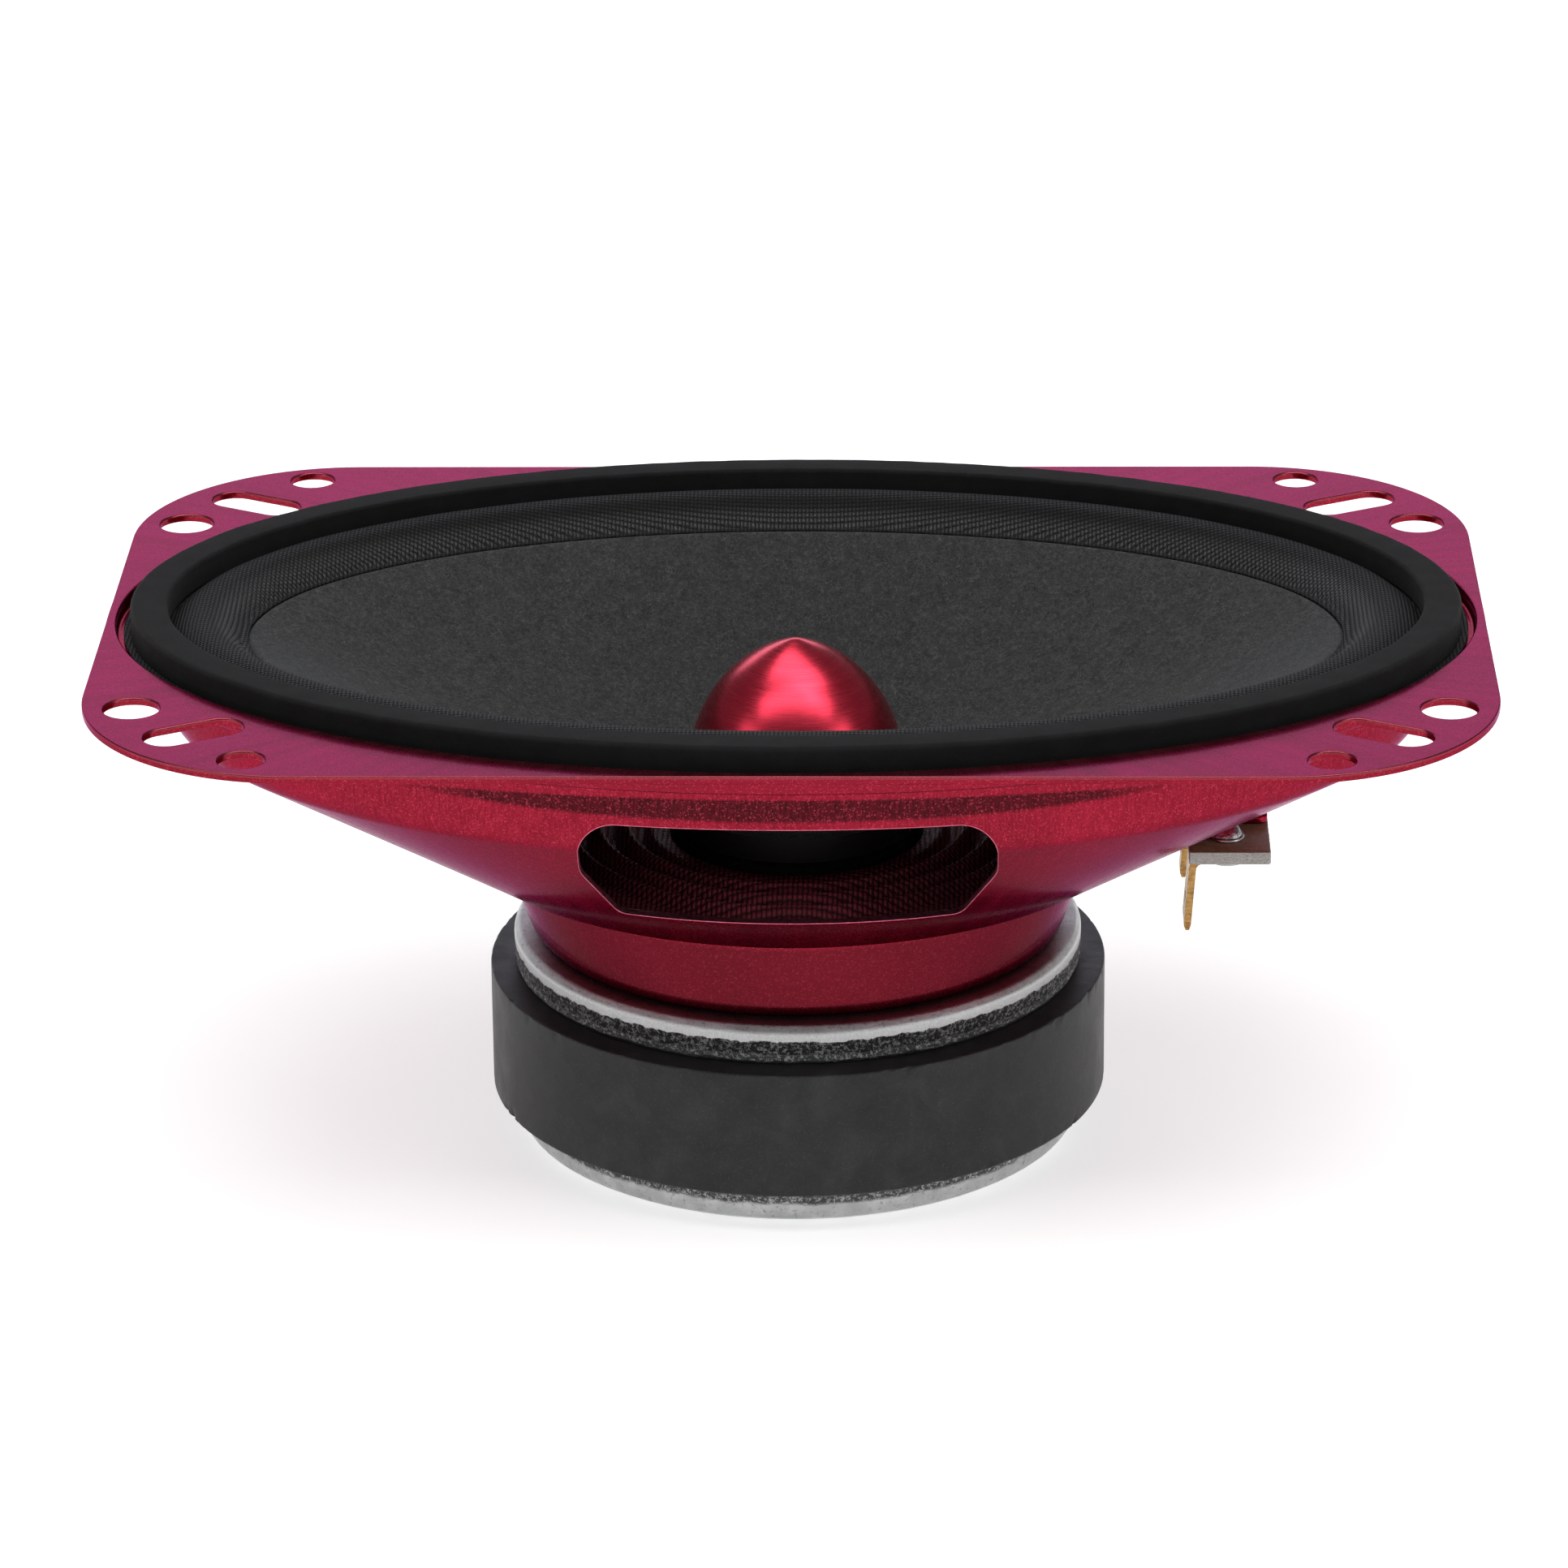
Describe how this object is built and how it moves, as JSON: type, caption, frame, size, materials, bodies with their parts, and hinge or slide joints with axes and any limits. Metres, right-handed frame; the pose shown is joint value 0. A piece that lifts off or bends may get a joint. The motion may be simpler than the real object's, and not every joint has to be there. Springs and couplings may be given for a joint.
{
  "type": "car speaker",
  "caption": "Oval car speaker with a slotted mounting flange, woven surround, paper cone, bullet phase plug and ferrite magnet motor.",
  "frame": {"origin": "centre of the back plate's rear face, on the voice coil's axis", "axes": "+Z along the voice coil's axis towards the listener, +X along the long side of the flange towards the terminals"},
  "size_m": [0.154, 0.1002, 0.0627],
  "materials": {
    "red_metal": "semi-gloss metallic crimson",
    "red_anodised": "turned and anodised, satin",
    "zinc_steel": "zinc plated, slightly rough",
    "ferrite": "matt sintered ferrite",
    "foam": "matt closed-cell foam",
    "woven_cloth": "treated woven cotton",
    "paper": "dark grey paper with fine fibres",
    "spider_cloth": "resin-treated open weave",
    "polyimide": "thin film, satin",
    "kraft": "kraft paper",
    "copper": "enamelled copper",
    "adhesive": "cured black adhesive",
    "board": "resin-bonded paper board",
    "brass": "stamped brass",
    "steel": "plated steel",
    "solder": "bright solder",
    "tinsel": "braided tinsel wire"
  },
  "bodies": {
    "frame": {"basket": "red_metal", "basket_rivets": "steel", "top_plate": "zinc_steel", "magnet": "ferrite", "t_yoke": "zinc_steel", "phase_plug": "red_anodised", "plug_screw": "steel", "plug_washer": "steel", "surround": "woven_cloth", "foam_gasket": "foam", "spider": "spider_cloth", "terminal_board": "board", "terminal_negative": "brass", "terminal_positive": "brass", "terminal_eyelets": "steel", "board_rivet": "steel", "solder_joints": "solder", "tinsel_lead_negative": "tinsel", "tinsel_lead_positive": "tinsel"},
    "cone_assembly": {"cone": "paper", "voice_coil_former": "polyimide", "voice_coil_winding": "copper", "voice_coil_collar": "kraft", "coil_lead_wires": "copper", "coil_solder_joints": "solder", "neck_adhesive_bead": "adhesive", "spider_adhesive_bead": "adhesive"}
  },
  "joints": [
    {"name": "cone_travel", "type": "slide", "parent": "frame", "child": "cone_assembly", "axis": [0, 0, 1], "range_m": [-0.003, 0.003], "stiffness_N_per_m": 2400, "deforming": ["surround", "spider", "tinsel_lead_negative", "tinsel_lead_positive"]}
  ]
}
